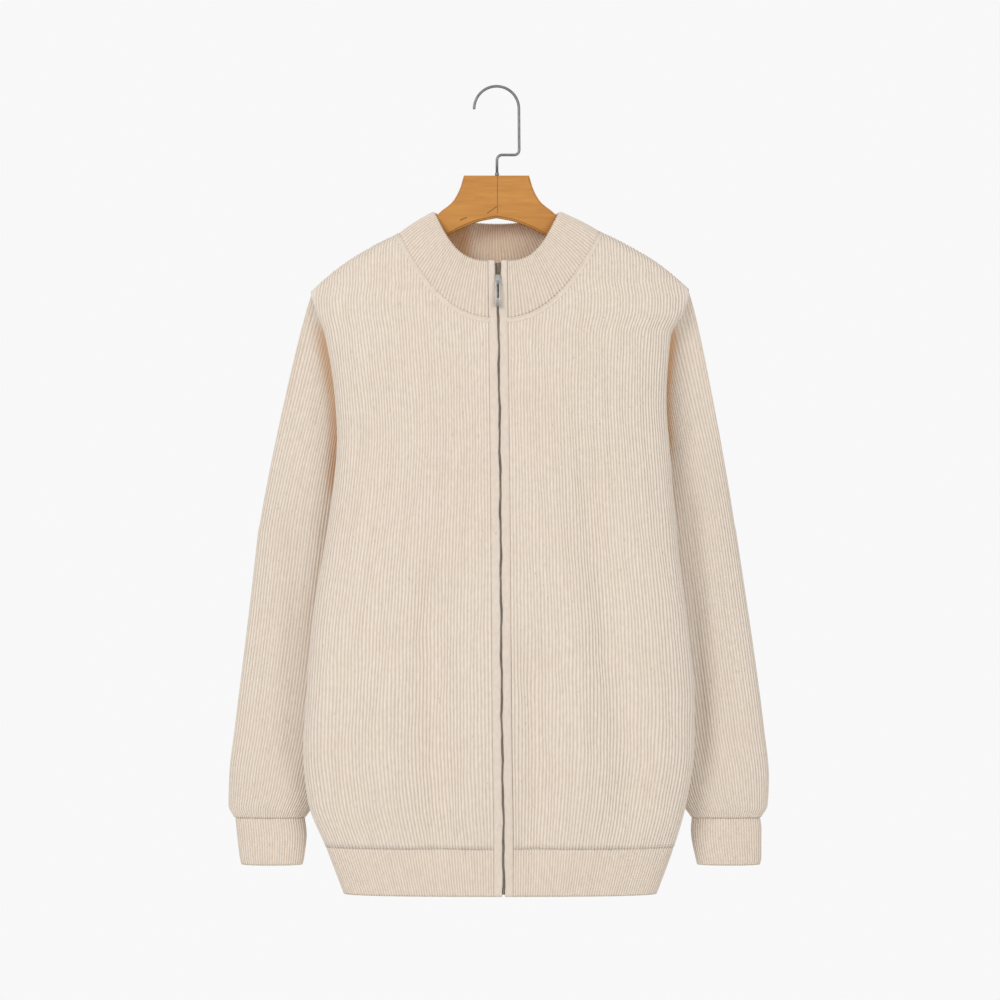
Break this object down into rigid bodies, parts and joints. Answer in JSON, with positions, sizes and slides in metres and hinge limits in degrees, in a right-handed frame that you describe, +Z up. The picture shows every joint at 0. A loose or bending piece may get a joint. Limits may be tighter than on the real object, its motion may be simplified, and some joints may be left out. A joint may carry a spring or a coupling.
{
  "type": "full-zip sweater on a wooden hanger",
  "caption": "Ribbed knit long-sleeved sweater with a mock neck and a full-length metal zip, hanging open-necked on a flat wooden hanger with a wire hook.",
  "frame": {"origin": "inside top of the hook's bend, where the rod carries it", "axes": "+Z up along the hook, -Y the sweater's front, +X to the viewer's right seen from the front"},
  "size_m": [0.5783, 0.1025, 0.8586],
  "materials": {
    "knit_rib": "heathered wool-blend rib knit, matt and slightly fuzzy",
    "band_rib": "finer rib knit of the collar, hem and cuffs, matt",
    "placket_knit": "plain knit band beside the zip, matt",
    "zip_tape": "woven zip tape, matt",
    "zip_metal": "silver-grey metal teeth, slider and pull tab",
    "wood": "clear-varnished wood, semi-gloss",
    "hook_steel": "plain steel wire"
  },
  "bodies": {
    "garment": {"front_left": "knit_rib", "front_right": "knit_rib", "back": "knit_rib", "sleeve_left": "knit_rib", "sleeve_right": "knit_rib", "cuff_left": "band_rib", "cuff_right": "band_rib", "hem_front_left": "band_rib", "hem_front_right": "band_rib", "hem_back": "band_rib", "collar": "band_rib", "placket_left": "placket_knit", "placket_right": "placket_knit", "zip_tape_left": "zip_tape", "zip_tape_right": "zip_tape", "zip_slider": "zip_metal", "hanger_wood": "wood", "hanger_hook": "hook_steel"},
    "pull_tab": {"zip_pull_tab": "zip_metal"}
  },
  "joints": [
    {"name": "pull_tab_swing", "type": "hinge", "parent": "garment", "child": "pull_tab", "pos_m": [0.00149, -0.04028, -0.2093], "axis": [-1, 0, 0], "range_deg": [0, 165]}
  ]
}
